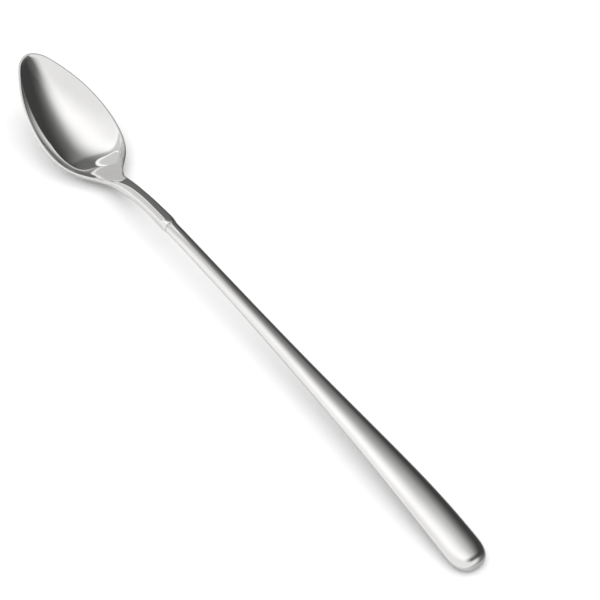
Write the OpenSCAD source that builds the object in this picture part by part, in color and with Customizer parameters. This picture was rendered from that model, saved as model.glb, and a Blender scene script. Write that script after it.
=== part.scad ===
// Iced tea spoon with a long hollow handle.
// X runs along the spoon from the bowl's tip to the handle's end, Y across it and Z up from the table it lies on.
// The bowl and neck are one forging. Two half shells make the handle, and a ring of braze fills the joint.

/* [Bowl] */
// Length of the bowl from its tip to the waist where the neck starts
bowl_len = 51; // [40:0.5:62]
// Greatest width of the bowl over its rim
bowl_w = 25.2; // [20:0.1:32]
// Greatest depth of the hollow, straight down from the rim
bowl_depth = 5.2; // [3.5:0.05:6.5]
// Thickness of the metal under the hollow
bowl_wall = 1; // [0.7:0.05:1.4]
// Width of the flat land along the top of the rim
rim_w = 0.7; // [0.5:0.05:1]
// Height of the rim's tip above the table
tip_rise = 19.2; // [15:0.1:23]
// Height of the rim at the waist above the table
waist_rise = 4.3; // [3.5:0.1:5.5]

/* [Neck] */
// Length of the neck from the waist to the joint
neck_len = 36.7; // [28:0.1:46]
// Width of the neck between waist and joint
neck_w = 4.1; // [3.6:0.05:5]
// Thickness of the neck between waist and joint
neck_t = 3.5; // [3:0.05:4.4]
// Thickness of the metal at the waist, where the bowl's floor runs into the neck
waist_t = 2.3; // [1.8:0.05:2.8]
// Height of the neck's middle at the joint above the table
joint_rise = 8.7; // [7:0.05:11]
// Diameter of the round end of the neck at the joint
joint_d = 4.2; // [3.9:0.05:4.8]

/* [Joint] */
// Length of the braze ring along the spoon
ring_len = 0.35; // [0.2:0.05:0.6]
// Depth of the groove that the braze ring leaves below the neck
groove_depth = 0.15; // [0.05:0.01:0.25]
// Length of the tang inside the handle
tang_len = 13; // [8:0.5:18]
// Clearance between the tang and the handle's inner wall
tang_gap = 0.12; // [0.08:0.01:0.2]

/* [Handle] */
// Length of the handle from the braze ring to its end
handle_len = 141.95; // [110:0.5:180]
// Diameter of the round start of the handle at the joint
handle_start_d = 4; // [3.8:0.05:4.6]
// Greatest width of the handle near its end
handle_end_w = 9.85; // [8:0.05:13]
// Thickness of the handle near its end
handle_end_t = 4.1; // [3.5:0.05:5]
// Height of the handle's seam at its end above the table
end_rise = 1.5; // [1.4:0.05:2.2]
// Length over which the handle's outline rounds off at its end
end_round = 6.5; // [5:0.1:9]
// Length over which the handle's thickness rounds off at its end
end_bevel = 4.4; // [3:0.1:6]
// Thickness of the handle's half shells
shell_t = 0.5; // [0.35:0.05:0.6]

/* [Hidden] */

joint_x = bowl_len + neck_len;
handle_x = joint_x + ring_len;
overall_len = handle_x + handle_len;
tang_d = handle_start_d - 2 * (shell_t + tang_gap);
// Small bevels along both edges of the rim's land
rim_bevel = 0.12;
// Overrun of the braze ring's bore past both of its faces
overrun = 0.5;
// Length over which the metal thickens from the bowl's tip
tip_round = 1.6;
// Land that is left where the neck's top and bottom meet
neck_land = 0.08;

// Outline seen from above: [place as a share of the bowl's length, share of bowl_w, share of neck_w]
outline_shares = [
    [0, 0, 0],
    [0.012, 0.172, 0],
    [0.05, 0.357, 0],
    [0.12, 0.525, 0],
    [0.235, 0.735, 0],
    [0.39, 0.917, 0],
    [0.55, 0.998, 0],
    [0.687, 0.976, 0],
    [0.8, 0.868, 0],
    [0.9, 0.65, 0.02],
    [0.98, 0.34, 0.42],
    [1.06, 0.11, 0.88],
    [1.14, 0.036, 1.02],
    [1.24, 0.01, 1.02],
    [1.4, 0, 1]
];
// Hollow and crown of the top face: [place as a share of the bowl's length, share of bowl_depth, share of neck_t / 2]
top_shares = [
    [0, 0, 0],
    [0.1, 0.42, 0],
    [0.22, 0.74, 0],
    [0.4, 0.955, 0],
    [0.57, 1, 0],
    [0.74, 0.89, 0],
    [0.88, 0.485, 0],
    [1, 0.09, 0],
    [1.14, 0, 0.7],
    [1.34, 0, 1]
];
// Thickness of the metal: [place as a share of the bowl's length, shares of bowl_wall, waist_t and neck_t]
metal_shares = [[0, 1, 0, 0], [0.6, 1, 0, 0], [0.86, 0.5, 0.5, 0], [1, 0, 1, 0], [1.2, 0, 0, 1], [1.45, 0, 0, 1]];
// Seam and rim heights along each stretch: [place as a share of its length, height as a share of its rise]
bowl_rise_shares = [[0, 1], [0.29, 0.643], [0.59, 0.277], [0.82, 0.052], [0.98, 0]];
neck_rise_shares = [[0.19, 0.301], [0.41, 0.669], [0.63, 0.9], [0.93, 0.997]];
handle_rise_shares = [[0.12, 0.968], [0.3, 0.875], [0.51, 0.737], [0.72, 0.605], [0.895, 0.323], [1, 0]];
// Swell of the handle: [place as a share of its length, width as a share of its gain, thickness as a share]
swell_shares = [
    [0, 0, 0],
    [0.13, 0.005, 0],
    [0.3, 0.075, 0.06],
    [0.51, 0.305, 0.28],
    [0.72, 0.67, 0.7],
    [0.88, 0.955, 0.98],
    [1, 1.02, 1]
];
// Power by which the bowl's rings crowd towards the tip
crowd_power = 1.7;
// Flare of the hollow's section: the larger it is, the straighter the walls beside the rounded bottom
flare = 1.57;
// Shares of the hollow's depth that its steeper lip under the rim takes: in the bowl, and at its root
lip_share = 0.24;
root_lip_share = 0.9;
// Places, as shares of the bowl's length, between which the lip grows towards the root
lip_places = [0.6, 0.95];
// Power by which the lip turns up
lip_power = 5;
// Powers of the outside curve of the round neck and of the flatter handle
round_power = 2;
handle_power = 2.15;
// Places, as shares of the bowl's length, between which the section turns from hollow to round
turn_shares = [0.86, 1.16];
// Power of the rounding of the handle's outline and thickness at its end
end_power = 2.5;

// Counts of rings along the pieces and of steps around them
bowl_rings = 30;
neck_rings = 13;
face_steps = 22;
shell_rings = 26;
end_rings = 9;
shell_steps = 16;
$fn = 64;

// Smooth curve through hand-picked points: its bends are those of a thin wooden spline held at the points.
function bend_rows(p, i = 1, rows = [[0, 0]]) =
    i >= len(p) - 1 ? rows :
    let (
        before = p[i][0] - p[i - 1][0],
        after = p[i + 1][0] - p[i][0],
        turn = 6 * ((p[i + 1][1] - p[i][1]) / after - (p[i][1] - p[i - 1][1]) / before),
        pivot = 2 * (before + after) - before * rows[i - 1][0]
    )
    bend_rows(p, i + 1, concat(rows, [[after / pivot, (turn - before * rows[i - 1][1]) / pivot]]));
function bend_list(rows, i, found = [0]) =
    i < 1 ? concat([0], found) :
    bend_list(rows, i - 1, concat([rows[i][1] - rows[i][0] * found[0]], found));
function bends(p) = bend_list(bend_rows(p), len(p) - 2);
function span_of(p, x, i = 0) = i >= len(p) - 2 || x < p[i + 1][0] ? i : span_of(p, x, i + 1);
function curve_at(p, bend, x) =
    let (
        i = span_of(p, x),
        gap = p[i + 1][0] - p[i][0],
        b = (x - p[i][0]) / gap,
        a = 1 - b
    )
    a * p[i][1] + b * p[i + 1][1] + ((pow(a, 3) - a) * bend[i] + (pow(b, 3) - b) * bend[i + 1]) * gap * gap / 6;

// Height of the seam: the rim along the bowl, the widest line along neck and handle
rise_pts = concat(
    [for (s = bowl_rise_shares) [s[0] * bowl_len, waist_rise + s[1] * (tip_rise - waist_rise)]],
    [for (s = neck_rise_shares) [bowl_len + s[0] * neck_len, waist_rise + s[1] * (joint_rise - waist_rise)]],
    [for (s = handle_rise_shares) [handle_x + s[0] * handle_len, end_rise + s[1] * (joint_rise - end_rise)]]
);
rise_bend = bends(rise_pts);
function rise(x) = curve_at(rise_pts, rise_bend, x);

// Half width of bowl and neck. It follows the square root of the distance from the tip, so the tip is round.
outline_pts = concat(
    [for (s = outline_shares) [sqrt(s[0]), (s[1] * bowl_w + s[2] * neck_w) / 2]],
    [[sqrt(joint_x / bowl_len), joint_d / 2]]
);
outline_bend = bends(outline_pts);
function half_w(x) = x >= joint_x ? joint_d / 2 : curve_at(outline_pts, outline_bend, sqrt(x / bowl_len));
// Step for measuring how an outline leans
small = 0.01;
function lean(x) = (half_w(x + small) - half_w(max(x - small, 0))) / (x + small - max(x - small, 0));
// Sine and cosine of the outline's lean, for stepping square to the rim
function lean_sin(x) = x == 0 ? 1 : lean(x) / sqrt(1 + lean(x) * lean(x));
function lean_cos(x) = x == 0 ? 0 : 1 / sqrt(1 + lean(x) * lean(x));

function ease(s) = s <= 0 ? 0 : s >= 1 ? 1 : s * s * (3 - 2 * s);
// Share of the round section: 0 in the bowl and 1 in the neck
function round_share(x) = ease((x / bowl_len - turn_shares[0]) / (turn_shares[1] - turn_shares[0]));

top_pts = concat(
    [for (s = top_shares) [s[0] * bowl_len, s[2] * neck_t / 2 - s[1] * bowl_depth]],
    [[joint_x, joint_d / 2]]
);
top_bend = bends(top_pts);
// How far the top face's middle lies above the rim or seam, less than nothing in the hollow
function top_lift(x) = x >= joint_x ? joint_d / 2 : curve_at(top_pts, top_bend, x);

metal_pts = concat(
    [for (s = metal_shares) [s[0] * bowl_len, s[1] * bowl_wall + s[2] * waist_t + s[3] * neck_t]],
    [[joint_x, joint_d]]
);
metal_bend = bends(metal_pts);
// Thickness of the metal in the middle of the section
function metal(x) =
    let (grow = x >= tip_round ? 1 : sqrt(1 - pow(1 - x / tip_round, 2)))
    grow * (x >= joint_x ? joint_d : curve_at(metal_pts, metal_bend, x));

// Height share across the section at share u of its half width: a flared hollow with a lip, or a round crown
function flared(u) = 1 - (sqrt(1 + pow(flare * u, 2)) - 1) / (sqrt(1 + flare * flare) - 1);
function lip_growth(x) = ease((x / bowl_len - lip_places[0]) / (lip_places[1] - lip_places[0]));
function lip(x) = (1 - round_share(x)) * (lip_share + lip_growth(x) * (root_lip_share - lip_share));
function hollow(u, x) = (1 - lip(x)) * flared(u) + lip(x) * (1 - pow(abs(u), lip_power));
function crown(u) = 1 - pow(abs(u), round_power);
function arch_at(u, x) =
    let (r = round_share(x))
    pow(max((1 - r) * hollow(u, x) + r * crown(u), 0), 1 / (1 + r * (round_power - 1)));

// One ring around the bowl or neck at distance x from the tip
function land(x) = rim_w + round_share(x) * (neck_land - rim_w);
function bevel(x) = rim_bevel * land(x) / rim_w;
function bowl_ring(x) =
    let (
        inner_x = x + land(x) * lean_sin(x),
        inner_w = half_w(x) - land(x) * lean_cos(x),
        bevel_x = x + bevel(x) * lean_sin(x),
        bevel_w = half_w(x) - bevel(x) * lean_cos(x),
        edge = rise(x) - bevel(x),
        floor = max(metal(x) - top_lift(x) - bevel(x), 0)
    )
    concat(
        [for (i = [0:face_steps])
            let (u = -cos(180 * i / face_steps))
            [inner_x, u * inner_w, rise(inner_x) + top_lift(inner_x) * arch_at(u, x)]],
        [[bevel_x, bevel_w, rise(bevel_x)]],
        [for (i = [0:face_steps])
            let (u = cos(180 * i / face_steps))
            [x, u * half_w(x), edge - floor * arch_at(u, x)]],
        [[bevel_x, -bevel_w, rise(bevel_x)]]
    );

// The tang runs straight from the joint's middle to the seam's height at the tang's own end
tang_run = ring_len + tang_len;
tang_fall = (rise(joint_x) - rise(joint_x + tang_run)) / tang_run;
function tang_height(run) = rise(joint_x) - tang_fall * run;
function tang_ring(run) =
    let (
        top = [for (i = [0:face_steps])
            let (u = -cos(180 * i / face_steps))
            [joint_x + run, u * tang_d / 2, tang_height(run) + tang_d / 2 * arch_at(u, joint_x)]],
        low = [for (i = [0:face_steps])
            let (u = cos(180 * i / face_steps))
            [joint_x + run, u * tang_d / 2, tang_height(run) - tang_d / 2 * arch_at(u, joint_x)]]
    )
    concat(top, [low[0]], low, [top[0]]);

// Places of the rings, closer together near the tip
bowl_places = concat(
    [for (i = [0:bowl_rings]) bowl_len * pow(i / bowl_rings, crowd_power)],
    [for (i = [1:neck_rings]) bowl_len + neck_len * i / neck_rings]
);

// Skin over closed rings of equal count. Points that fall together share one number, and empty faces are left out.
function first_same(ring, j, k = 0) = ring[k] == ring[j] ? k : first_same(ring, j, k + 1);
function whole(face) = face[0] != face[1] && face[1] != face[2] && face[2] != face[0];
function skin_faces(rings) =
    let (
        count = len(rings[0]),
        number = [for (i = [0:len(rings) - 1]) [for (j = [0:count - 1]) i * count + first_same(rings[i], j)]]
    )
    [for (i = [0:len(rings) - 2])
        for (j = [0:count - 1])
            let (
                next = (j + 1) % count,
                near = [number[i][j], number[i][next], number[i + 1][next]],
                far = [number[i][j], number[i + 1][next], number[i + 1][j]]
            )
            each [if (whole(near)) near, if (whole(far)) far]];

// Half width and half thickness of the handle at distance x from the bowl's tip
swell_w_pts = [for (s = swell_shares) [
    handle_x + s[0] * handle_len,
    (handle_start_d + s[1] * (handle_end_w - handle_start_d)) / 2
]];
swell_t_pts = [for (s = swell_shares) [
    handle_x + s[0] * handle_len,
    (handle_start_d + s[2] * (handle_end_t - handle_start_d)) / 2
]];
swell_w_bend = bends(swell_w_pts);
swell_t_bend = bends(swell_t_pts);
// Rounding off of a size over the given length before the handle's end
function run_out(x, run) =
    let (s = (x - overall_len + run) / run)
    s <= 0 ? 1 : s >= 1 ? 0 : pow(1 - pow(s, end_power), 1 / end_power);
function shell_w(x) = curve_at(swell_w_pts, swell_w_bend, x) * run_out(x, end_round);
function shell_h(x) = curve_at(swell_t_pts, swell_t_bend, x) * run_out(x, end_bevel);
function shell_lean(x) = (shell_w(x) - shell_w(x - small)) / small;
// The section starts round at the joint and grows flatter sides over the first half of the handle
function shell_power(x) = round_power + ease(2 * (x - handle_x) / handle_len) * (handle_power - round_power);
function flat_cos(a, x) = sign(cos(a)) * pow(abs(cos(a)), 2 / shell_power(x));
function flat_sin(a, x) = pow(max(sin(a), 0), 2 / shell_power(x));

// Half ring of the handle: out over the metal's outer face and back along its inner face
function shell_ring(x, side) =
    let (
        slope = shell_lean(x),
        at_end = x >= overall_len,
        lean_s = at_end ? -1 : slope / sqrt(1 + slope * slope),
        lean_c = at_end ? 0 : 1 / sqrt(1 + slope * slope),
        inner_x = x + shell_t * lean_s,
        inner_w = shell_w(x) - shell_t * lean_c,
        inner_h = at_end ? 0 : max(shell_h(inner_x) - shell_t, 0)
    )
    concat(
        [for (i = [0:shell_steps])
            let (a = 180 * i / shell_steps)
            [x, shell_w(x) * flat_cos(a, x), rise(x) + side * shell_h(x) * flat_sin(a, x)]],
        [for (i = [shell_steps:-1:0])
            let (a = 180 * i / shell_steps)
            [inner_x, inner_w * flat_cos(a, x), rise(inner_x) + side * inner_h * flat_sin(a, x)]]
    );

// Places of the rings, closer together where the end rounds off
shell_places = concat(
    [for (i = [0:shell_rings - 1]) handle_x + (handle_len - end_round) * i / shell_rings],
    [for (i = [0:end_rings]) overall_len - end_round * (1 - pow(sin(90 * i / end_rings), 2 / end_power))]
);

// The part stands on the lower of the bowl's floor and the handle's end, and is centred along its length
function bowl_base(x) = rise(x) + top_lift(x) - metal(x);
function shell_base(x) = rise(x) - shell_h(x);
bowl_low = min([for (x = bowl_places) bowl_base(x)]);
handle_low = min([for (x = shell_places) shell_base(x)]);
table = min(bowl_low, handle_low);
module in_place() {
    translate([-overall_len / 2, 0, -table])
        children();
}

module bowl_skin() {
    tang_tip = [for (p = tang_ring(0)) [joint_x + tang_run, 0, tang_height(tang_run)]];
    rings = concat([for (x = bowl_places) bowl_ring(x)], [tang_ring(0), tang_ring(tang_run), tang_tip]);
    polyhedron(points = [for (r = rings) each r], faces = skin_faces(rings), convexity = 6);
}

module shell_skin(side) {
    rings = [for (x = shell_places) shell_ring(x, side)];
    count = len(rings[0]);
    points = [for (r = rings) each r];
    mouth = [for (j = [0:shell_steps - 1]) each [
        [j, j + 1, count - 1 - j],
        [j + 1, count - 2 - j, count - 1 - j]
    ]];
    all_faces = concat(skin_faces(rings), [for (f = mouth) [f[2], f[1], f[0]]]);
    faces = side < 0 ? all_faces : [for (f = all_faces) [f[2], f[1], f[0]]];
    polyhedron(points = points, faces = faces, convexity = 6);
}

module bowl() {
    color("gainsboro")
        in_place()
            bowl_skin();
}

module handle_upper_shell() {
    color("silver")
        in_place()
            shell_skin(1);
}

module handle_lower_shell() {
    color("darkgray")
        in_place()
            shell_skin(-1);
}

module neck_braze_ring() {
    color("lightsteelblue")
        in_place()
            difference() {
                translate([joint_x, 0, rise(joint_x)])
                    rotate([0, 90, 0])
                        cylinder(d = joint_d - 2 * groove_depth, h = ring_len);
                translate([joint_x, 0, rise(joint_x)])
                    rotate([0, 90 + atan(tang_fall), 0])
                        translate([0, 0, -overrun])
                            cylinder(d = tang_d, h = ring_len + 2 * overrun);
            }
}

bowl();
handle_upper_shell();
handle_lower_shell();
neck_braze_ring();
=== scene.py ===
"""A long iced tea spoon lying on a white table.

One forging is bowl, neck and tang, two half shells are the handle, and braze fills the joint's groove.
Shapes are worked out in millimetres, at stations counted from the bowl's tip, and to_frame() gives metres.
"""

import math

import bpy
import bmesh
import numpy as np
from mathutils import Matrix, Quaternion, Vector


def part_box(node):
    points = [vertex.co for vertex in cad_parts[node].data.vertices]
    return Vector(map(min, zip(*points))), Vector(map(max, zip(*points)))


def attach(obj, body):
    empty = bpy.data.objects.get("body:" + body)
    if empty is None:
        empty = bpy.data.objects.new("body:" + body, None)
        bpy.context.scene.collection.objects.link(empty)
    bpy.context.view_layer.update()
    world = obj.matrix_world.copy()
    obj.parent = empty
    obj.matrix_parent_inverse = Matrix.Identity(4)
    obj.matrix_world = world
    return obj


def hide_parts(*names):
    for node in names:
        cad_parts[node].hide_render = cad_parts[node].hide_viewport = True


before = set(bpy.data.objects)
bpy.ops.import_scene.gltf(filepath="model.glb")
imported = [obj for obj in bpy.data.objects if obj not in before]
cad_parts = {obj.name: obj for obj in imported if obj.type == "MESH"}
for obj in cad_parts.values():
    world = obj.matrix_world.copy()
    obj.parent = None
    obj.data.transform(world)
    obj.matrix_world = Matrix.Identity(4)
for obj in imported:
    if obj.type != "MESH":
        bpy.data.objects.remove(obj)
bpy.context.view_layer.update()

MM = 0.001

# Driving sizes in millimetres, the same as the part's
BOWL_LEN = 51
BOWL_W = 25.2
BOWL_DEPTH = 5.2
BOWL_WALL = 1
RIM_W = 0.7
TIP_RISE = 19.2
WAIST_RISE = 4.3
NECK_LEN = 36.7
NECK_W = 4.1
NECK_T = 3.5
WAIST_T = 2.3
JOINT_RISE = 8.7
JOINT_D = 4.2
RING_LEN = 0.35
GROOVE_DEPTH = 0.15
TANG_LEN = 13
TANG_GAP = 0.12
HANDLE_LEN = 141.95
HANDLE_START_D = 4
HANDLE_END_W = 9.85
HANDLE_END_T = 4.1
END_RISE = 1.5
END_ROUND = 6.5
END_BEVEL = 4.4
SHELL_T = 0.5

# Worked out from them
JOINT_X = BOWL_LEN + NECK_LEN
HANDLE_X = JOINT_X + RING_LEN
OVERALL_LEN = HANDLE_X + HANDLE_LEN
TANG_D = HANDLE_START_D - 2 * (SHELL_T + TANG_GAP)
TANG_RUN = RING_LEN + TANG_LEN

# Finer than the part's: polished roundings, the braze's hollow face, and a fuller top at the handle's end
RIM_ROUND = 0.2
JOINT_ROUND = 0.14
TIP_ROUND = 1.6
NECK_LAND = 0.03
BRAZE_DISH = 0.06
TOP_END_BEVEL = 2.4

# Listed shares, as in the part: places along a stretch, then shares of the sizes named beside each table
OUTLINE_SHARES = (  # place, BOWL_W, NECK_W
    (0, 0, 0), (0.012, 0.172, 0), (0.05, 0.357, 0), (0.12, 0.525, 0), (0.235, 0.735, 0), (0.39, 0.917, 0),
    (0.55, 0.998, 0), (0.687, 0.976, 0), (0.8, 0.868, 0), (0.9, 0.65, 0.02), (0.98, 0.34, 0.42),
    (1.06, 0.11, 0.88), (1.14, 0.036, 1.02), (1.24, 0.01, 1.02), (1.4, 0, 1),
)
TOP_SHARES = (  # place, BOWL_DEPTH, NECK_T / 2
    (0, 0, 0), (0.1, 0.42, 0), (0.22, 0.74, 0), (0.4, 0.955, 0), (0.57, 1, 0), (0.74, 0.89, 0),
    (0.88, 0.485, 0), (1, 0.09, 0), (1.14, 0, 0.7), (1.34, 0, 1),
)
METAL_SHARES = (  # place, BOWL_WALL, WAIST_T, NECK_T
    (0, 1, 0, 0), (0.6, 1, 0, 0), (0.86, 0.5, 0.5, 0), (1, 0, 1, 0), (1.2, 0, 0, 1), (1.45, 0, 0, 1),
)
BOWL_RISE_SHARES = ((0, 1), (0.29, 0.643), (0.59, 0.277), (0.82, 0.052), (0.98, 0))
NECK_RISE_SHARES = ((0.19, 0.301), (0.41, 0.669), (0.63, 0.9), (0.93, 0.997))
HANDLE_RISE_SHARES = ((0.12, 0.968), (0.3, 0.875), (0.51, 0.737), (0.72, 0.605), (0.895, 0.323), (1, 0))
SWELL_SHARES = (  # place, gain in width, gain in thickness
    (0, 0, 0), (0.13, 0.005, 0), (0.3, 0.075, 0.06), (0.51, 0.305, 0.28), (0.72, 0.67, 0.7),
    (0.88, 0.955, 0.98), (1, 1.02, 1),
)

# How the sections curve: the hollow's flare and lip, and where and how far neck and handle turn square
FLARE = 1.57
LIP_SHARE = 0.24
ROOT_LIP_SHARE = 0.9
LIP_PLACES = (0.6, 0.95)
LIP_POWER = 5
ROUND_POWER = 2
NECK_POWER = 3.5
NECK_POWER_RUN = 2.5
HANDLE_POWER = 2.15
HANDLE_POWER_SHARE = 0.5
TURN_SHARES = (0.86, 1.16)
END_POWER = 2.5

# Counts of rings and steps in the fine meshes
BOWL_RINGS = 150
TIP_CROWDING = 1.7
NECK_RINGS = 90
ARCH_STEPS = 88
CORNER_POINTS = 2
EDGE_STEPS = 4
HANDLE_RINGS = 180
END_RINGS = 46
SHELL_STEPS = 96
BRAZE_SEGMENTS = 120
DISH_STEPS = 8
STAGE_SEGMENTS = 96
DOME_RINGS = 48

# How finely curves are measured in millimetres, what merges in metres, and the angle of a real edge
SLOPE_STEP = 0.01
BOWL_FLOOR_SHARES = (0.2, 1)
BOWL_FLOOR_STEPS = 2000
MERGE = 2e-7
SHARP_ANGLE = 50

# Finishes: tones, gloss, and the stretch of the polishing lines, which run along the spoon
STEEL_TONE = (0.78, 0.775, 0.765)
BRAZE_TONE = (0.6, 0.595, 0.58)
BOWL_GLOSS = 0.04
HANDLE_GLOSS = 0.07
BRAZE_GLOSS = 0.2
BOWL_LINES = (500, 3000, 3000)
HANDLE_LINES = (200, 9000, 9000)
BRAZE_LINES = (2000, 2000, 2000)
SMUDGE_SCALE = 90
SMUDGE_DETAIL = 4
SMUDGE_TONE = 0.97
SMUDGE_DULLING = 1.6
LINE_DETAIL = 3
LINE_STRENGTH = 0.04
LINE_HEIGHT = 0.00002
NOISE_REACH = (0.35, 0.65)

# The photograph's viewing angle, in degrees, with the aim and its distance in metres
LOOK_HEADING = 146.46
LOOK_DROP = 41.63
LOOK_ROLL = -0.07
LOOK_DISTANCE = 0.482
LOOK_AIM = Vector((0.0107, 0.0189, -0.0003))
LENS = 103.4
SENSOR = 36
CLIP = (0.01, 20)

# The white room: table, fill light and softbox, in metres
TABLE_RADIUS = 4
TABLE_ALBEDO = 0.85
TABLE_TOP_UP = 0.05
TABLE_FADE = (0.35, 0.9)
ROOM_FILL = 0.85
SOFTBOX_PLACE = Vector((-0.02, 0, 0.9))
SOFTBOX_AIM = Vector((0, 0, 0))
SOFTBOX_RADIUS = 1.1
SOFTBOX_CORE = 0.5
SOFTBOX_STRENGTH = 1.8

# What only the metal sees. Headings count from the look's, and a patch runs from full to none, all in degrees
DOME_RADIUS = 3
DOME_FOOT = -0.01
CORE = (-17, 0, 71, 117)
CORE_STRENGTH = 1.55
CLOTHS = (  # heading, height, full and none, share of the light left
    (-62, -10, 44, 77, 0.19), (-17, 3, 39, 94, 0.2), (-75, 50, 5, 31, 0.21), (31, 9, 44, 51, 0.58),
    (-111, 62, 2, 33, 0.15),
)
PANELS = (  # heading, height, full and none, strength
    (36, 28, 20.3, 21.3, 1.25), (36, 28, 17.9, 19.1, 0.76),
)
# Painted shade on the table, seen only by the metal: it stands in for the dark cloths' reflection
SHADE_HEADING = -59
SHADE_REACH = (-0.025, 0.033)
SHADE_STRENGTH = 0.18


def held_spline(points):
    """The curve of a thin wooden spline held at the points, free at both ends."""
    x, y = np.array(points, float).T
    gap = np.diff(x)
    slope = np.diff(y) / gap
    bend = np.zeros(len(x))
    inner = np.diag(2 * (gap[:-1] + gap[1:])) + np.diag(gap[1:-1], 1) + np.diag(gap[1:-1], -1)
    bend[1:-1] = np.linalg.solve(inner, 6 * np.diff(slope))

    def at(place):
        """The curve's height at one place or at many."""
        place = np.asarray(place, float)
        i = np.clip(np.searchsorted(x, place, side="right") - 1, 0, len(x) - 2)
        b = (place - x[i]) / gap[i]
        a = 1 - b
        return a * y[i] + b * y[i + 1] + ((a**3 - a) * bend[i] + (b**3 - b) * bend[i + 1]) * gap[i] ** 2 / 6

    return at


def rise_points():
    """Heights of the seam: the rim along the bowl, the widest line along neck and handle."""
    tip, neck, end = TIP_RISE - WAIST_RISE, JOINT_RISE - WAIST_RISE, JOINT_RISE - END_RISE
    return (
        [(s * BOWL_LEN, WAIST_RISE + r * tip) for s, r in BOWL_RISE_SHARES]
        + [(BOWL_LEN + s * NECK_LEN, WAIST_RISE + r * neck) for s, r in NECK_RISE_SHARES]
        + [(HANDLE_X + s * HANDLE_LEN, END_RISE + r * end) for s, r in HANDLE_RISE_SHARES]
    )


def handle_swell(end_size, column):
    """Half a size of the handle, from its start to the given size at its end."""
    gain = end_size - HANDLE_START_D
    return held_spline(
        [(HANDLE_X + row[0] * HANDLE_LEN, (HANDLE_START_D + row[column] * gain) / 2) for row in SWELL_SHARES]
    )


rise = held_spline(rise_points())
outline_of_root = held_spline(
    [(math.sqrt(s), (b * BOWL_W + n * NECK_W) / 2) for s, b, n in OUTLINE_SHARES]
    + [(math.sqrt(JOINT_X / BOWL_LEN), JOINT_D / 2)]
)
top_at = held_spline(
    [(s * BOWL_LEN, n * NECK_T / 2 - d * BOWL_DEPTH) for s, d, n in TOP_SHARES] + [(JOINT_X, JOINT_D / 2)]
)
metal_at = held_spline(
    [(s * BOWL_LEN, b * BOWL_WALL + w * WAIST_T + n * NECK_T) for s, b, w, n in METAL_SHARES]
    + [(JOINT_X, JOINT_D)]
)
swell_width = handle_swell(HANDLE_END_W, 1)
swell_height = handle_swell(HANDLE_END_T, 2)


def half_width(x):
    """Half width of bowl and neck at station x."""
    return float(outline_of_root(math.sqrt(x / BOWL_LEN)))


def rim_direction(x):
    """Sine and cosine of the outline's lean, for stepping square to the rim."""
    if x == 0:
        return 1.0, 0.0
    back, on = max(x - SLOPE_STEP, 0), x + SLOPE_STEP
    lean = (half_width(on) - half_width(back)) / (on - back)
    return lean / math.hypot(1, lean), 1 / math.hypot(1, lean)


def ease(s):
    """0 up to 0 and 1 from 1 on, with a smooth turn between."""
    s = min(max(s, 0), 1)
    return s * s * (3 - 2 * s)


def round_share(x):
    """0 where the section is a hollow bowl, 1 where it is the round neck."""
    return ease((x / BOWL_LEN - TURN_SHARES[0]) / (TURN_SHARES[1] - TURN_SHARES[0]))


def metal_thickness(x):
    """Thickness in the middle of the section, growing quickly from the bowl's tip."""
    grow = 1 if x >= TIP_ROUND else math.sqrt(1 - (1 - x / TIP_ROUND) ** 2)
    return grow * float(metal_at(x))


def crown_power(x):
    """Squareness of the neck's section, which is round only where it meets the handle."""
    return ROUND_POWER + (NECK_POWER - ROUND_POWER) * ease((JOINT_X - x) / NECK_POWER_RUN)


def arch(u, x):
    """Height share across the section at share u of its half width."""
    r = round_share(x)
    power = crown_power(x)
    growth = ease((x / BOWL_LEN - LIP_PLACES[0]) / (LIP_PLACES[1] - LIP_PLACES[0]))
    lip = (1 - r) * (LIP_SHARE + growth * (ROOT_LIP_SHARE - LIP_SHARE))
    flared = 1 - (np.sqrt(1 + (FLARE * u) ** 2) - 1) / (math.sqrt(1 + FLARE**2) - 1)
    hollow = (1 - lip) * flared + lip * (1 - np.abs(u) ** LIP_POWER)
    blend = (1 - r) * hollow + r * (1 - np.abs(u) ** power)
    return np.maximum(blend, 0) ** (1 / (1 + r * (power - 1)))


def corner(a, b, c):
    """A polished corner: a quadratic curve from a to c that turns at b."""
    t = np.linspace(0, 1, EDGE_STEPS + 1)[:, None]
    return (1 - t) ** 2 * a + 2 * t * (1 - t) * b + t**2 * c


def forging_ring(x, trim=0.0):
    """One closed ring round the bowl or neck at station x, drawn in by trim at the joint's polished edge."""
    sine, cosine = rim_direction(x)
    share = round_share(x)
    land = RIM_W + share * (NECK_LAND - RIM_W)
    edge = RIM_ROUND * land / RIM_W
    wide = half_width(x) - trim
    middle = float(rise(x))

    def on_land(step):
        """The point of the rim's land that lies a step in from its outer edge."""
        return np.array((x + step * sine, wide - step * cosine, float(rise(x + step * sine))))

    inner = on_land(land)
    lift = float(top_at(inner[0])) - trim
    drop = edge * (1 - share)
    sink = max(metal_thickness(x) - float(top_at(x)) - drop - trim, 0)
    turn = np.linspace(0, math.pi, ARCH_STEPS + 1)
    u = np.cos(turn)
    over = np.stack([np.full_like(u, inner[0]), u * inner[1], inner[2] + lift * arch(u, x)], 1)
    under = np.stack([np.full_like(u, x), u * wide, middle - drop - sink * arch(u, x)], 1)
    outer_corner = corner(under[0], on_land(0), on_land(edge))
    inner_corner = corner(on_land(land - edge), on_land(land), over[CORNER_POINTS])
    side = np.concatenate([outer_corner, inner_corner])
    mirrored = side[::-1] * (1, -1, 1)
    return np.concatenate([side, over[CORNER_POINTS + 1:-CORNER_POINTS - 1], mirrored, under[::-1][1:-1]])


def tang_height(run):
    """The tang runs straight from the joint's middle to the seam's height at its own end."""
    fall = float(rise(JOINT_X) - rise(JOINT_X + TANG_RUN)) / TANG_RUN
    return float(rise(JOINT_X)) - fall * run


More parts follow.
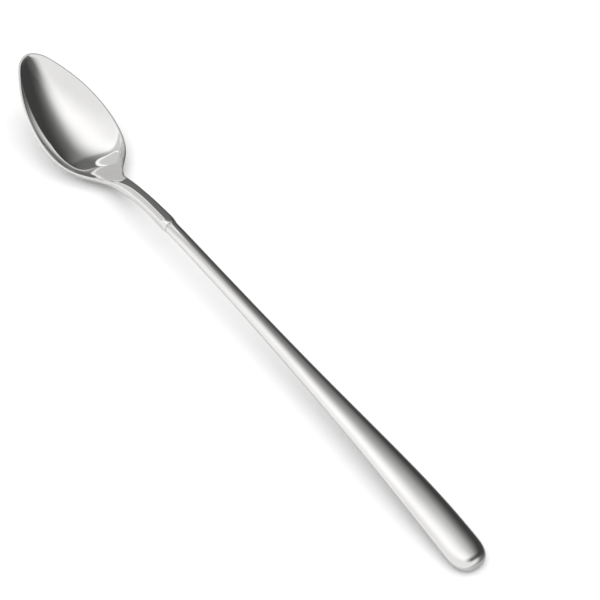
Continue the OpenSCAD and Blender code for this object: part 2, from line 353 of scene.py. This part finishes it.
def tang_ring(run, radius, count):
    """One round ring of the tang, at a run from the joint."""
    turn = np.linspace(0, 2 * math.pi, count, endpoint=False)
    x = np.full_like(turn, JOINT_X + run)
    return np.stack([x, radius * np.cos(turn), tang_height(run) + radius * np.sin(turn)], 1)


def bowl_floor():
    """Height of the bowl's lowest point, on which it rests."""
    first, last = BOWL_FLOOR_SHARES
    x = np.linspace(first * BOWL_LEN, last * BOWL_LEN, BOWL_FLOOR_STEPS)
    return float(np.min(rise(x) + top_at(x) - metal_at(x)))


# Where the part lies in the frame: its tip, and the height that puts the bowl's floor on the table
TIP_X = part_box("bowl")[0].x
BASE_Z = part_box("bowl")[0].z - MM * bowl_floor()


def to_frame(points):
    """Points in stations and millimetres, as points of the frame in metres."""
    return np.asarray(points, float) * MM + (TIP_X, 0, BASE_Z)


def new_object(name, data):
    """An object of the scene, at the origin."""
    thing = bpy.data.objects.new(name, data)
    bpy.context.scene.collection.objects.link(thing)
    return thing


def skin(name, rings):
    """A closed mesh over rings of equal count, with doubled points merged and faces outwards."""
    count = len(rings[0])
    points = to_frame(np.concatenate(rings))
    faces = []
    for i in range(len(rings) - 1):
        for j in range(count):
            k = (j + 1) % count
            faces.append((i * count + j, (i + 1) * count + j, (i + 1) * count + k, i * count + k))
    mesh = bpy.data.meshes.new(name)
    mesh.from_pydata(points.tolist(), [], faces)
    tidy_mesh(mesh)
    return new_object(name, mesh)


def tidy_mesh(mesh):
    """Merges doubled points, turns faces outwards and smooths all but real edges."""
    work = bmesh.new()
    work.from_mesh(mesh)
    bmesh.ops.remove_doubles(work, verts=work.verts, dist=MERGE)
    bmesh.ops.dissolve_degenerate(work, edges=work.edges, dist=MERGE)
    bmesh.ops.recalc_face_normals(work, faces=work.faces)
    work.to_mesh(mesh)
    work.free()
    mesh.shade_smooth()
    mesh.set_sharp_from_angle(angle=math.radians(SHARP_ANGLE))


def make_forging():
    """Bowl, neck and tang in one piece, with the rim's polished corners and the rounded end at the joint."""
    bowl = [BOWL_LEN * (i / BOWL_RINGS) ** TIP_CROWDING for i in range(BOWL_RINGS + 1)]
    neck = [BOWL_LEN + (NECK_LEN - JOINT_ROUND) * i / NECK_RINGS for i in range(1, NECK_RINGS + 1)]
    rings = [forging_ring(x) for x in bowl + neck]
    count = len(rings[0])
    for i in range(1, EDGE_STEPS + 1):
        turn = math.pi / 2 * i / EDGE_STEPS
        x = JOINT_X - JOINT_ROUND * (1 - math.sin(turn))
        rings.append(forging_ring(x, JOINT_ROUND * (1 - math.cos(turn))))
    rings += [tang_ring(0, TANG_D / 2, count), tang_ring(TANG_RUN, TANG_D / 2, count)]
    rings.append(np.tile((JOINT_X + TANG_RUN, 0, tang_height(TANG_RUN)), (count, 1)))
    return skin("bowl_and_neck", rings)


def handle_stations():
    """Stations along the handle, close together where its start and its end turn round."""
    straight = np.linspace(HANDLE_X + JOINT_ROUND, OVERALL_LEN - END_ROUND, HANDLE_RINGS)
    turn = np.linspace(0, math.pi / 2, END_RINGS + 1)[1:]
    end = OVERALL_LEN - END_ROUND * (1 - np.sin(turn) ** (2 / END_POWER))
    start_turn = np.linspace(0, math.pi / 2, EDGE_STEPS + 1)[:-1]
    start = HANDLE_X + JOINT_ROUND * (1 - np.cos(start_turn))
    return np.concatenate([start, straight, end])


def run_out(x, run):
    """Rounding off of a size over the given length before the handle's end."""
    s = np.clip((x - OVERALL_LEN + run) / run, 0, 1)
    return (1 - s**END_POWER) ** (1 / END_POWER)


def seam_line(name, side):
    """The line where the shells meet, with the handle's half width and half height kept at each point."""
    x = handle_stations()
    drawn_in = np.clip(1 - (x - HANDLE_X) / JOINT_ROUND, 0, 1)
    trim = JOINT_ROUND * (1 - np.sqrt(1 - drawn_in**2))
    wide = (swell_width(x) - trim) * run_out(x, END_ROUND)
    high = (swell_height(x) - trim) * run_out(x, TOP_END_BEVEL if side > 0 else END_BEVEL)
    squared = np.array([ease((v - HANDLE_X) / (HANDLE_POWER_SHARE * HANDLE_LEN)) for v in x])
    power = ROUND_POWER + (HANDLE_POWER - ROUND_POWER) * squared
    points = to_frame(np.stack([x, np.zeros_like(x), rise(x)], 1))
    mesh = bpy.data.meshes.new(name)
    mesh.from_pydata(points.tolist(), [(i, i + 1) for i in range(len(x) - 1)], [])
    for label, values in (("half_width", wide * MM), ("half_height", high * MM), ("roundness", 2 / power)):
        mesh.attributes.new(label, "FLOAT", "POINT").data.foreach_set("value", values.astype(np.float32))
    return mesh


def feed(tree, node, values):
    """Gives a node's first inputs their values, which are sockets or numbers."""
    for socket, value in zip(node.inputs, values):
        if isinstance(value, (int, float)):
            socket.default_value = value
        else:
            tree.links.new(value, socket)


def math_node(tree, operation, *inputs):
    """The result of a Math node fed with sockets or numbers."""
    node = tree.nodes.new("ShaderNodeMath")
    node.operation = operation
    feed(tree, node, inputs)
    return node.outputs[0]


def shell_tree():
    """Nodes that spread a half round section along the seam line, to its kept half width and height."""
    tree = bpy.data.node_groups.new("half_shell", "GeometryNodeTree")
    face = tree.interface
    face.new_socket("Geometry", in_out="INPUT", socket_type="NodeSocketGeometry")
    face.new_socket("Stations", in_out="INPUT", socket_type="NodeSocketInt")
    face.new_socket("Steps", in_out="INPUT", socket_type="NodeSocketInt")
    face.new_socket("Side", in_out="INPUT", socket_type="NodeSocketFloat")
    face.new_socket("Steel", in_out="INPUT", socket_type="NodeSocketMaterial")
    face.new_socket("Geometry", in_out="OUTPUT", socket_type="NodeSocketGeometry")
    new, link = tree.nodes.new, tree.links.new
    given, result = new("NodeGroupInput"), new("NodeGroupOutput")

    grid = new("GeometryNodeMeshGrid")
    link(given.outputs["Stations"], grid.inputs["Vertices X"])
    link(given.outputs["Steps"], grid.inputs["Vertices Y"])
    place = new("ShaderNodeSeparateXYZ")
    link(new("GeometryNodeInputPosition").outputs[0], place.inputs[0])
    last = math_node(tree, "SUBTRACT", given.outputs["Stations"], 1)
    along = math_node(tree, "MULTIPLY", math_node(tree, "ADD", place.outputs["X"], 0.5), last)
    station = math_node(tree, "ROUND", along)
    angle = math_node(tree, "MULTIPLY", math_node(tree, "ADD", place.outputs["Y"], 0.5), math.pi)

    def kept(label, kind):
        """What the seam line keeps under that name at this station."""
        sample = new("GeometryNodeSampleIndex")
        sample.data_type = kind
        link(given.outputs["Geometry"], sample.inputs["Geometry"])
        link(station, sample.inputs["Index"])
        if label:
            value = new("GeometryNodeInputNamedAttribute")
            value.data_type = kind
            value.inputs["Name"].default_value = label
            link(value.outputs["Attribute"], sample.inputs["Value"])
        else:
            link(new("GeometryNodeInputPosition").outputs[0], sample.inputs["Value"])
        return sample.outputs["Value"]

    roundness = kept("roundness", "FLOAT")
    cosine = math_node(tree, "COSINE", angle)
    size = math_node(tree, "POWER", math_node(tree, "ABSOLUTE", cosine), roundness)
    turn = math_node(tree, "MULTIPLY", math_node(tree, "SIGN", cosine), size)
    sine = math_node(tree, "POWER", math_node(tree, "MAXIMUM", math_node(tree, "SINE", angle), 0), roundness)
    across = math_node(tree, "MULTIPLY", kept("half_width", "FLOAT"), turn)
    lift = math_node(tree, "MULTIPLY", kept("half_height", "FLOAT"), sine)
    offset = new("ShaderNodeCombineXYZ")
    link(across, offset.inputs["Y"])
    link(math_node(tree, "MULTIPLY", lift, given.outputs["Side"]), offset.inputs["Z"])
    spread = new("GeometryNodeSetPosition")
    link(grid.outputs["Mesh"], spread.inputs["Geometry"])
    link(kept(None, "FLOAT_VECTOR"), spread.inputs["Position"])
    link(offset.outputs[0], spread.inputs["Offset"])
    merge = new("GeometryNodeMergeByDistance")
    merge.inputs["Distance"].default_value = MERGE
    link(spread.outputs[0], merge.inputs["Geometry"])
    realize = new("GeometryNodeRealizeInstances")
    link(merge.outputs[0], realize.inputs["Geometry"])
    steel = new("GeometryNodeSetMaterial")
    link(realize.outputs[0], steel.inputs["Geometry"])
    link(given.outputs["Steel"], steel.inputs["Material"])
    link(steel.outputs[0], result.inputs["Geometry"])
    return tree


def set_input(modifier, name, value):
    """Sets a modifier's input by its socket's identifier."""
    for item in modifier.node_group.interface.items_tree:
        if item.in_out == "INPUT" and item.name == name:
            modifier[item.identifier] = value


def make_shell(name, side, tree, steel):
    """One half shell: the tree's outer face, then a wall of even thickness on its inner side."""
    line = seam_line(name + "_seam", side)
    holder = new_object(name + "_holder", line)
    grow = holder.modifiers.new("half_shell", "NODES")
    grow.node_group = tree
    given = {"Stations": len(line.vertices), "Steps": SHELL_STEPS + 1, "Side": side, "Steel": steel}
    for label, value in given.items():
        set_input(grow, label, value)
    face = plain_copy(holder)
    bpy.data.objects.remove(holder)
    work = bmesh.new()
    work.from_mesh(face)
    bmesh.ops.recalc_face_normals(work, faces=work.faces)
    if sum(f.normal.z * f.calc_area() for f in work.faces) * side < 0:
        bmesh.ops.reverse_faces(work, faces=work.faces)
    work.to_mesh(face)
    work.free()
    piece = new_object(name, face)
    wall = piece.modifiers.new("wall", "SOLIDIFY")
    wall.thickness = SHELL_T * MM
    wall.offset = -1
    wall.use_quality_normals = True
    piece.data = plain_copy(piece)
    piece.modifiers.clear()
    keep_on_side(piece.data, side)
    tidy_mesh(piece.data)
    return piece


def keep_on_side(mesh, side):
    """Lets the wall end at the seam where the handle's end is thinner than two walls."""
    for v in mesh.vertices:
        seam = BASE_Z + MM * float(rise((v.co.x - TIP_X) / MM))
        if (seam - v.co.z) * side > MERGE:
            v.co.z = seam


def plain_copy(thing):
    """The evaluated object as a plain mesh."""
    bpy.context.view_layer.update()
    seen = thing.evaluated_get(bpy.context.evaluated_depsgraph_get())
    return bpy.data.meshes.new_from_object(seen)


def make_braze_ring():
    """The braze in the joint's groove, its outer face drawn in between neck and handle as it froze."""
    inside, outside = TANG_D / 2, JOINT_D / 2 - GROOVE_DEPTH
    turn = np.linspace(0, 2 * math.pi, BRAZE_SEGMENTS, endpoint=False)
    profile = [(0, inside)]
    for i in range(DISH_STEPS + 1):
        s = i / DISH_STEPS
        profile.append((s * RING_LEN, outside - BRAZE_DISH * 4 * s * (1 - s)))
    profile += [(RING_LEN, inside), (0, inside)]
    loops = []
    for run, radius in profile:
        x = np.full_like(turn, JOINT_X + run)
        centre = float(rise(JOINT_X)) if radius > inside else tang_height(run)
        loops.append(np.stack([x, radius * np.cos(turn), centre + radius * np.sin(turn)], 1))
    return skin("braze_ring", loops)


def new_material(name):
    """An empty material with its Principled shader."""
    material = bpy.data.materials.new(name)
    material.use_nodes = True
    return material, material.node_tree, material.node_tree.nodes["Principled BSDF"]


def stage_material(name):
    """An empty material for the studio, with no shader yet."""
    material, tree, shader = new_material(name)
    tree.nodes.remove(shader)
    return material, tree


def show(tree, shader):
    """Makes the shader the surface of its material."""
    tree.links.new(shader, tree.nodes["Material Output"].inputs["Surface"])


def glow(tree, strength):
    """A white light of a strength that is a socket or a number."""
    light = tree.nodes.new("ShaderNodeEmission")
    if isinstance(strength, (int, float)):
        light.inputs["Strength"].default_value = strength
    else:
        tree.links.new(strength, light.inputs["Strength"])
    return light.outputs[0]


def mixed(tree, share, first, second):
    """The first shader, with the second over it by the share."""
    mix = tree.nodes.new("ShaderNodeMixShader")
    feed(tree, mix, (share, first, second))
    return mix.outputs[0]


def along(tree, vector, direction):
    """How far a vector reaches in a direction."""
    reach = tree.nodes.new("ShaderNodeVectorMath")
    reach.operation = "DOT_PRODUCT"
    reach.inputs[1].default_value = direction
    tree.links.new(vector, reach.inputs[0])
    return reach.outputs["Value"]


def polished_steel(name, tone, gloss, line_stretch):
    """Polished steel: a faint tone change, a gloss that hand marks dull, and fine polishing lines."""
    material, tree, shader = new_material(name)
    new, link = tree.nodes.new, tree.links.new
    shader.inputs["Metallic"].default_value = 1
    place = new("ShaderNodeTexCoord").outputs["Object"]

    def noise(stretch, scale, detail):
        """Noise fixed to the piece, finer by the stretch along each axis."""
        mapping = new("ShaderNodeMapping")
        mapping.inputs["Scale"].default_value = stretch
        link(place, mapping.inputs["Vector"])
        texture = new("ShaderNodeTexNoise")
        texture.inputs["Scale"].default_value = scale
        texture.inputs["Detail"].default_value = detail
        link(mapping.outputs[0], texture.inputs["Vector"])
        return texture.outputs["Fac"]

    def spread(value, low, high):
        """Noise spread out over the given range."""
        ranged = new("ShaderNodeMapRange")
        ranged.inputs["From Min"].default_value, ranged.inputs["From Max"].default_value = NOISE_REACH
        ranged.inputs["To Min"].default_value = low
        ranged.inputs["To Max"].default_value = high
        link(value, ranged.inputs["Value"])
        return ranged.outputs[0]

    smudges = noise((1, 1, 1), SMUDGE_SCALE, SMUDGE_DETAIL)
    lines = noise(line_stretch, 1, LINE_DETAIL)
    colour = new("ShaderNodeMix")
    colour.data_type = "RGBA"
    colour.inputs["A"].default_value = (*tone, 1)
    colour.inputs["B"].default_value = (*[c * SMUDGE_TONE for c in tone], 1)
    link(spread(smudges, 0, 1), colour.inputs["Factor"])
    link(colour.outputs["Result"], shader.inputs["Base Color"])
    link(spread(smudges, gloss, gloss * SMUDGE_DULLING), shader.inputs["Roughness"])
    bump = new("ShaderNodeBump")
    bump.inputs["Strength"].default_value = LINE_STRENGTH
    bump.inputs["Distance"].default_value = LINE_HEIGHT
    link(lines, bump.inputs["Height"])
    link(bump.outputs[0], shader.inputs["Normal"])
    return material


def seen_by_metal(tree):
    """1 for camera, glossy and transmission rays, so that metal shows the background that the camera sees."""
    path = tree.nodes.new("ShaderNodeLightPath")
    either = math_node(tree, "MAXIMUM", path.outputs["Is Camera Ray"], path.outputs["Is Glossy Ray"])
    return math_node(tree, "MAXIMUM", either, path.outputs["Is Transmission Ray"])


def make_room():
    """A plain white room: strength 1 where it is seen, and the plain fill where it only lights."""
    world = bpy.data.worlds.new("white_room")
    world.use_nodes = True
    tree = world.node_tree
    background = tree.nodes["Background"]
    background.inputs["Color"].default_value = (1, 1, 1, 1)
    strength = tree.nodes.new("ShaderNodeMapRange")
    strength.inputs["To Min"].default_value = ROOM_FILL
    strength.inputs["To Max"].default_value = 1
    tree.links.new(seen_by_metal(tree), strength.inputs["Value"])
    tree.links.new(strength.outputs[0], background.inputs["Strength"])
    bpy.context.scene.world = world


def feather(tree, distance, near, far):
    """1 within the near distance, easing to 0 at the far one."""
    ranged = tree.nodes.new("ShaderNodeMapRange")
    ranged.interpolation_type = "SMOOTHSTEP"
    ranged.inputs["From Min"].default_value = near
    ranged.inputs["From Max"].default_value = far
    ranged.inputs["To Min"].default_value = 1
    ranged.inputs["To Max"].default_value = 0
    tree.links.new(distance, ranged.inputs["Value"])
    return ranged.outputs[0]


def distance_from_middle(tree):
    """Distance from the object's own origin."""
    length = tree.nodes.new("ShaderNodeVectorMath")
    length.operation = "LENGTH"
    tree.links.new(tree.nodes.new("ShaderNodeTexCoord").outputs["Object"], length.inputs[0])
    return length.outputs["Value"]


def direction_at(heading, height=0):
    """Direction at a heading counted from the look's, and a height above the table, both in degrees."""
    a, e = math.radians(LOOK_HEADING + heading), math.radians(height)
    return math.cos(a) * math.cos(e), math.sin(a) * math.cos(e), math.sin(e)


def table_material():
    """White table: diffuse, so that it keeps the shadow, topped up where it is seen, and plain white far out.

    Only the metal sees a painted shade on it towards the dark cloths, standing in for their reflection in a
    glossy table. From below it isn't seen.
    """
    material, tree = stage_material("white_table")
    new = tree.nodes.new
    diffuse = new("ShaderNodeBsdfDiffuse")
    diffuse.inputs["Color"].default_value = (TABLE_ALBEDO, TABLE_ALBEDO, TABLE_ALBEDO, 1)
    seen = seen_by_metal(tree)
    near = new("ShaderNodeAddShader")
    feed(tree, near, (diffuse.outputs[0], glow(tree, math_node(tree, "MULTIPLY", seen, TABLE_TOP_UP))))
    middle = feather(tree, distance_from_middle(tree), *TABLE_FADE)
    white = mixed(tree, middle, glow(tree, seen), near.outputs[0])
    place = new("ShaderNodeTexCoord").outputs["Object"]
    # painted shade: for glossy rays the table darkens towards the cloths, a painted reflection of them
    lit = feather(tree, along(tree, place, direction_at(SHADE_HEADING)), *SHADE_REACH)
    mirrored = new("ShaderNodeLightPath").outputs["Is Glossy Ray"]
    shade = math_node(tree, "MULTIPLY", mirrored, math_node(tree, "SUBTRACT", 1, lit))
    top = mixed(tree, shade, white, glow(tree, SHADE_STRENGTH))
    below = new("ShaderNodeNewGeometry").outputs["Backfacing"]
    show(tree, mixed(tree, below, top, new("ShaderNodeBsdfTransparent").outputs[0]))
    return material


def make_disc(name, radius):
    """A flat disc, facing up."""
    mesh = bpy.data.meshes.new(name)
    work = bmesh.new()
    bmesh.ops.create_circle(work, cap_ends=True, radius=radius, segments=STAGE_SEGMENTS)
    work.to_mesh(mesh)
    work.free()
    return new_object(name, mesh)


def make_table():
    """The white table top under the spoon."""
    table = make_disc("table_top", TABLE_RADIUS)
    table.data.materials.append(table_material())


def hide_from(thing, *rays):
    """Takes the object out of the named kinds of ray."""
    for ray in rays:
        setattr(thing, "visible_" + ray, False)


def make_softbox():
    """A round softbox with feathered edges above the table."""
    box = make_disc("softbox", SOFTBOX_RADIUS)
    box.location = SOFTBOX_PLACE
    box.rotation_mode = "QUATERNION"
    box.rotation_quaternion = (SOFTBOX_AIM - SOFTBOX_PLACE).to_track_quat("Z", "Y")
    material, tree = stage_material("softbox_cloth")
    lit = feather(tree, distance_from_middle(tree), SOFTBOX_RADIUS * SOFTBOX_CORE, SOFTBOX_RADIUS)
    clear = tree.nodes.new("ShaderNodeBsdfTransparent").outputs[0]
    show(tree, mixed(tree, lit, clear, glow(tree, SOFTBOX_STRENGTH)))
    box.data.materials.append(material)
    hide_from(box, "camera", "glossy", "shadow")


def make_surroundings():
    """What only the metal sees around it: soft dark cloths, the room's bright core and crisp pale panels."""
    mesh = bpy.data.meshes.new("studio_dome")
    work = bmesh.new()
    bmesh.ops.create_uvsphere(work, u_segments=STAGE_SEGMENTS, v_segments=DOME_RINGS, radius=DOME_RADIUS)
    bmesh.ops.delete(work, geom=[v for v in work.verts if v.co.z < DOME_FOOT], context="VERTS")
    work.to_mesh(mesh)
    work.free()
    dome = new_object("studio_dome", mesh)
    material, tree = stage_material("studio_cloth")
    direction = tree.nodes.new("ShaderNodeVectorMath")
    direction.operation = "NORMALIZE"
    tree.links.new(tree.nodes.new("ShaderNodeTexCoord").outputs["Object"], direction.inputs[0])

    def cover(heading, height, near, far):
        """1 around the middle of a patch of the dome, easing to 0 from the near angle to the far one."""
        cosine = along(tree, direction.outputs[0], direction_at(heading, height))
        apart = math_node(tree, "ARCCOSINE", cosine)
        return feather(tree, apart, math.radians(near), math.radians(far))

    white = math_node(tree, "ADD", math_node(tree, "MULTIPLY", cover(*CORE), CORE_STRENGTH - 1), 1)
    for *patch, share in CLOTHS:
        left = math_node(tree, "SUBTRACT", 1, math_node(tree, "MULTIPLY", cover(*patch), 1 - share))
        white = math_node(tree, "MULTIPLY", white, left)
    for *patch, strength in PANELS:
        shown = cover(*patch)
        around = math_node(tree, "MULTIPLY", white, math_node(tree, "SUBTRACT", 1, shown))
        white = math_node(tree, "ADD", around, math_node(tree, "MULTIPLY", shown, strength))
    show(tree, glow(tree, white))
    dome.data.materials.append(material)
    hide_from(dome, "camera", "diffuse", "shadow", "transmission", "volume_scatter")


def make_camera():
    """The camera at the photograph's viewing angle."""
    forward = Vector(direction_at(0, -LOOK_DROP))
    data = bpy.data.cameras.new("camera")
    data.sensor_width = SENSOR
    data.lens = LENS
    data.clip_start, data.clip_end = CLIP
    camera = new_object("camera", data)
    camera.rotation_mode = "QUATERNION"
    level = forward.to_track_quat("-Z", "Y")
    camera.rotation_quaternion = level @ Quaternion((0, 0, 1), math.radians(LOOK_ROLL))
    camera.location = LOOK_AIM - forward * LOOK_DISTANCE
    bpy.context.scene.camera = camera


make_camera()
make_table()
make_room()
make_softbox()
make_surroundings()

bowl_steel = polished_steel("polished_steel_bowl", STEEL_TONE, BOWL_GLOSS, BOWL_LINES)
handle_steel = polished_steel("polished_steel_handle", STEEL_TONE, HANDLE_GLOSS, HANDLE_LINES)
braze = polished_steel("braze", BRAZE_TONE, BRAZE_GLOSS, BRAZE_LINES)

forging = make_forging()
forging.data.materials.append(bowl_steel)
tree = shell_tree()
upper = make_shell("upper_shell", 1, tree, handle_steel)
lower = make_shell("lower_shell", -1, tree, handle_steel)
ring = make_braze_ring()
ring.data.materials.append(braze)
for piece, node, slot in (
    (forging, "bowl", "bowl_steel"),
    (upper, "handle_upper_shell", "handle_steel"),
    (lower, "handle_lower_shell", "handle_steel"),
    (ring, "neck_braze_ring", "braze"),
):
    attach(piece, "root")
    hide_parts(node)

bpy.context.scene.view_settings.view_transform = "Standard"
